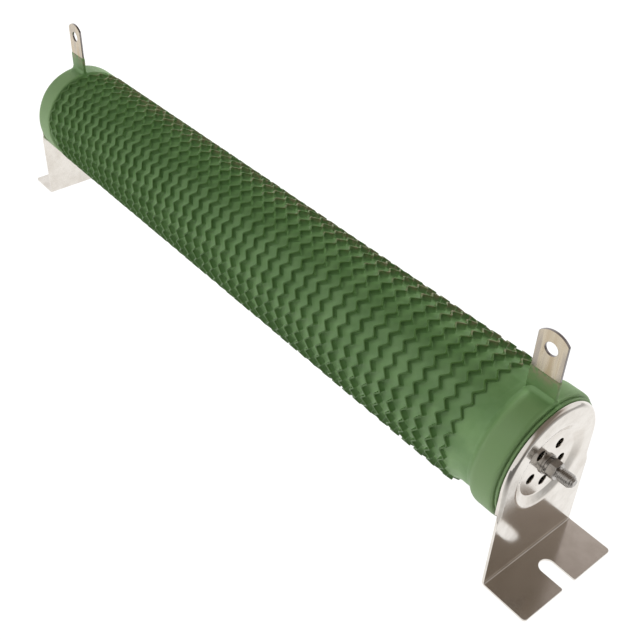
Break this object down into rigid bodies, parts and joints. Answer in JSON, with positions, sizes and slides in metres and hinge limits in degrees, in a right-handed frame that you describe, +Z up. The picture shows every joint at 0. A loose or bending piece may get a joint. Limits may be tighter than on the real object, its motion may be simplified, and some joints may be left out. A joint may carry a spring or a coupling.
{
  "type": "tubular edge-wound power resistor on brackets",
  "caption": "Long green-coated tubular power resistor, wound on edge with a zigzag ribbon, standing on sheet-steel brackets with flat terminal lugs.",
  "frame": {"origin": "centre of the footprint on the ground, midway between the two brackets", "axes": "+X along the tube, +Y across it, +Z up from the feet to the terminal lugs"},
  "size_m": [0.4654, 0.0656, 0.1241],
  "materials": {
    "green_coating": "satin",
    "ceramic": "matte",
    "bracket_steel": "satin",
    "terminal_steel": "satin",
    "fastener_steel": "bright"
  },
  "bodies": {
    "root": {"coated_winding": "green_coating", "ceramic_tube": "ceramic", "bracket_near": "bracket_steel", "bracket_far": "bracket_steel", "terminal_near": "terminal_steel", "terminal_far": "terminal_steel", "tie_rod": "fastener_steel", "plain_washers": "fastener_steel", "spring_washers": "fastener_steel", "hex_nuts": "fastener_steel"}
  },
  "joints": []
}
